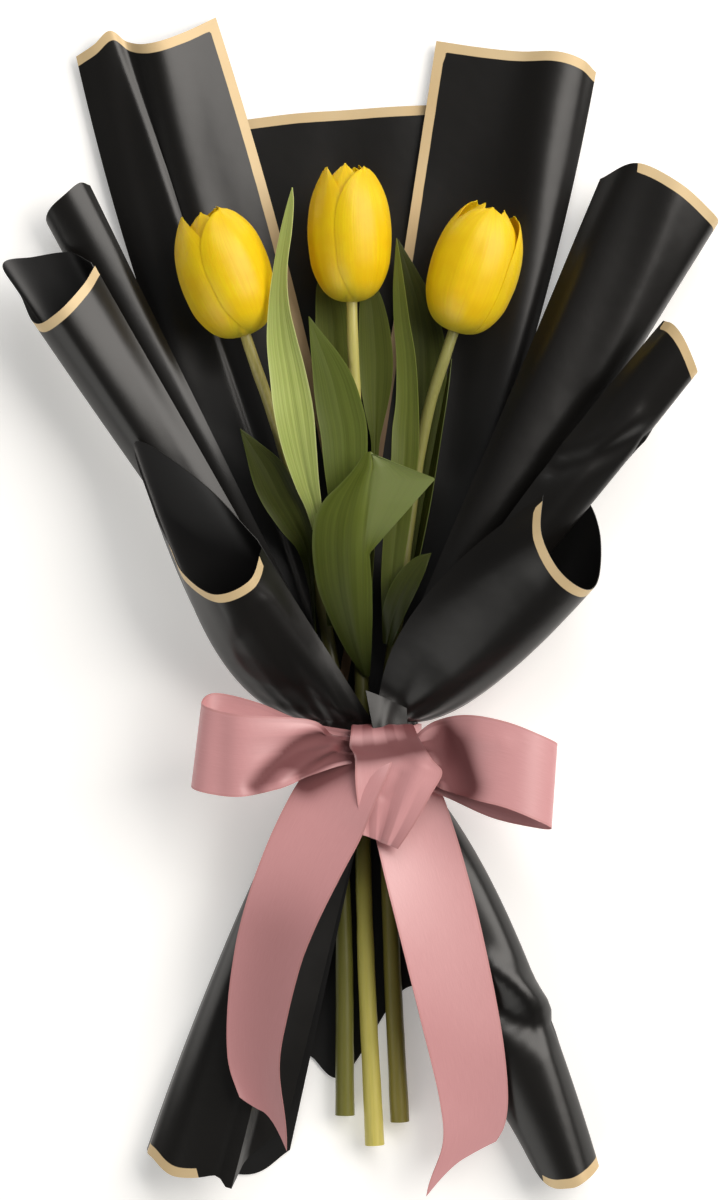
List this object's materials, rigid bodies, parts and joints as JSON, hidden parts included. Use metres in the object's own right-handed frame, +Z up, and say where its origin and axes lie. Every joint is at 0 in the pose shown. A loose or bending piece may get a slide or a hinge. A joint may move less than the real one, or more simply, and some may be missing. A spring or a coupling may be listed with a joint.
{
  "type": "bunch of tulips",
  "caption": "Florist's bunch of closed yellow tulips with leaves, in a gathered black paper wrap with a gold border, tied at the waist with a pink satin bow and laid on its back.",
  "frame": {"origin": "middle of the bounding box's base, on the surface that the bunch lies on", "axes": "+X right as seen from above with the blooms away from the viewer, +Y along the bunch towards the blooms, +Z up from the surface to the front of the bunch"},
  "size_m": [0.3154, 0.5188, 0.0702],
  "materials": {
    "paper": "black coated wrapping paper with a printed gold border along its front edges",
    "petal": "soft satin yellow tulip petal, greener at the foot",
    "stem": "smooth waxy pale green stem",
    "leaf": "waxy green leaf with parallel veins",
    "satin": "dusty pink woven satin ribbon",
    "string": "twisted jute string"
  },
  "bodies": {
    "root": {"paper_back_right": "paper", "paper_back_left": "paper", "paper_back_middle": "paper", "paper_roll_left_far": "paper", "paper_roll_left_middle": "paper", "paper_roll_left_front": "paper", "paper_roll_right_far": "paper", "paper_roll_right_middle": "paper", "paper_wrap_right_front": "paper", "stem_left": "stem", "stem_middle": "stem", "stem_right": "stem", "stem_tie": "string", "bloom_left": "petal", "bloom_middle": "petal", "bloom_right": "petal", "leaf_front_tall": "leaf", "leaf_left_low": "leaf", "leaf_middle_left": "leaf", "leaf_middle_back": "leaf", "leaf_middle_right": "leaf", "leaf_right_tall": "leaf", "leaf_right_back": "leaf", "leaf_right_edge": "leaf", "leaf_right_low": "leaf", "leaf_front_folded": "leaf", "ribbon_band": "satin", "ribbon_tail_left": "satin", "ribbon_tail_right": "satin", "ribbon_loop_left": "satin", "ribbon_loop_right": "satin", "ribbon_knot": "satin"}
  },
  "joints": []
}
